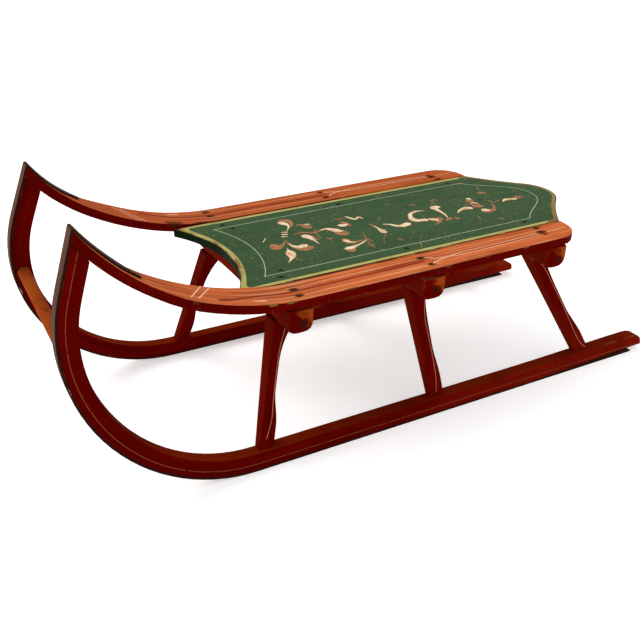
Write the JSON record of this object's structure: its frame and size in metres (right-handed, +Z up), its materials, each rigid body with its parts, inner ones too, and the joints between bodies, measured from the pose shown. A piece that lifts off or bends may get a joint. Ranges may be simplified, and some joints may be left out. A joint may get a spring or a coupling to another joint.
{
  "type": "sled",
  "caption": "Child's painted wooden coasting sled: a shaped deck board and bent side rails on beams and splayed posts, over bowed runners shod with iron.",
  "frame": {"origin": "on the floor, half way along the sled and half way between its runners", "axes": "+X to the sled's left, +Y to its rear, +Z up"},
  "size_m": [0.385, 1.0283, 0.3949],
  "materials": {
    "red_wood": "old dark red paint, worn to brown on the upward and forward faces, with thin pinstripes",
    "rail_wood": "old orange-brown paint, worn and rubbed dark, with a maroon stripe",
    "deck_wood": "old green paint with scrollwork, a thin pale line and a worn yellow border",
    "iron": "bare iron strap, browned with rust"
  },
  "bodies": {
    "root": {"deck_board": "deck_wood", "beam_front": "red_wood", "beam_middle": "red_wood", "beam_rear": "red_wood", "runner_left": "red_wood", "runner_right": "red_wood", "shoe_left": "iron", "shoe_right": "iron", "rail_left": "rail_wood", "rail_right": "rail_wood", "post_front_left": "red_wood", "post_front_right": "red_wood", "post_middle_left": "red_wood", "post_middle_right": "red_wood", "post_rear_left": "red_wood", "post_rear_right": "red_wood", "front_rung": "rail_wood"}
  },
  "joints": []
}
